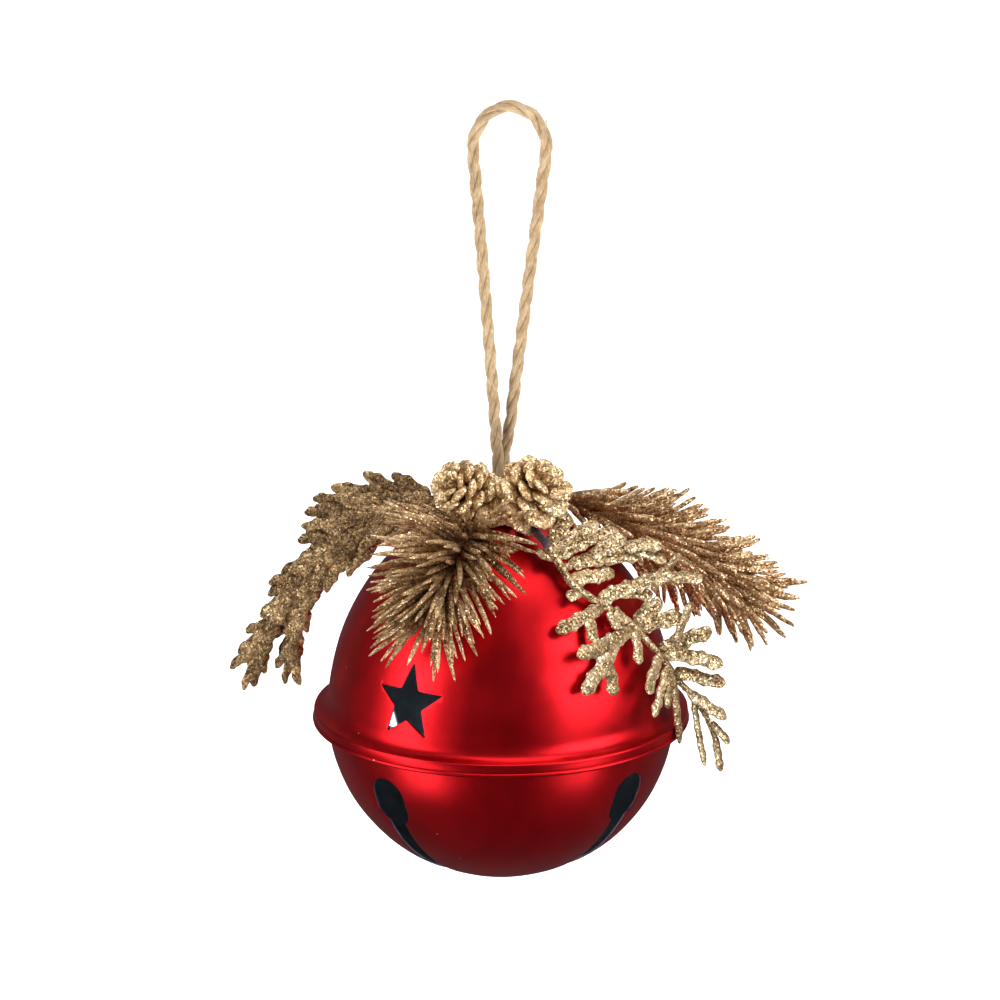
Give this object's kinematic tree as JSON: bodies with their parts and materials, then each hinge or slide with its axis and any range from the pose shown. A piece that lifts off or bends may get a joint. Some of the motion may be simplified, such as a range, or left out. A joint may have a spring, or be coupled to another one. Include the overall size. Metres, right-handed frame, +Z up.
{
  "type": "bell ornament",
  "caption": "Hanging jingle-bell ornament: a two-shell steel bell with star and keyhole cut-outs, loose clapper ball, twine loop, and sprigs and cones bound on top.",
  "frame": {"origin": "inside top of the twine loop, where it rests on a hook", "axes": "+Z up, +X to the right and -Y towards the viewer of the front"},
  "size_m": [0.1518, 0.1092, 0.2073],
  "materials": {
    "red_paint": "satin metallic red lacquer",
    "ball_steel": "plain steel",
    "eye_wire": "plated wire",
    "jute": "plied natural jute",
    "floral_tape": "dark brown floral tape",
    "gold_glitter": "moulded plastic coated in fine gold glitter",
    "copper_glitter": "moulded plastic coated in fine copper-gold glitter",
    "champagne_glitter": "moulded plastic coated in fine champagne glitter",
    "cone_gold": "small natural cone coated in gold glitter"
  },
  "bodies": {
    "twine": {"twine_loop": "jute", "twine_knot": "jute"},
    "bell": {"upper_shell": "red_paint", "lower_shell": "red_paint", "hanger_eye": "eye_wire", "stem_binding": "floral_tape", "pine_front_stem": "floral_tape", "pine_front_needles": "gold_glitter", "pine_right_stem": "floral_tape", "pine_right_needles": "copper_glitter", "cedar_left_stem": "floral_tape", "cedar_left_fronds": "gold_glitter", "cedar_right_stem": "floral_tape", "cedar_right_fronds": "champagne_glitter", "cone_left_stalk": "floral_tape", "cone_left": "cone_gold", "cone_right_stalk": "floral_tape", "cone_right": "cone_gold"},
    "clapper": {"clapper_ball": "ball_steel"}
  },
  "joints": [
    {"name": "bell_swing", "type": "hinge", "parent": "twine", "child": "bell", "pos_m": [-0.0022, 0, -0.1004], "axis": [0, 1, 0], "range_deg": [-25, 25]},
    {"name": "clapper_roll", "type": "hinge", "parent": "bell", "child": "clapper", "pos_m": [-0.0022, 0, -0.16], "axis": [0, 1, 0], "range_deg": [-60, 60]}
  ]
}
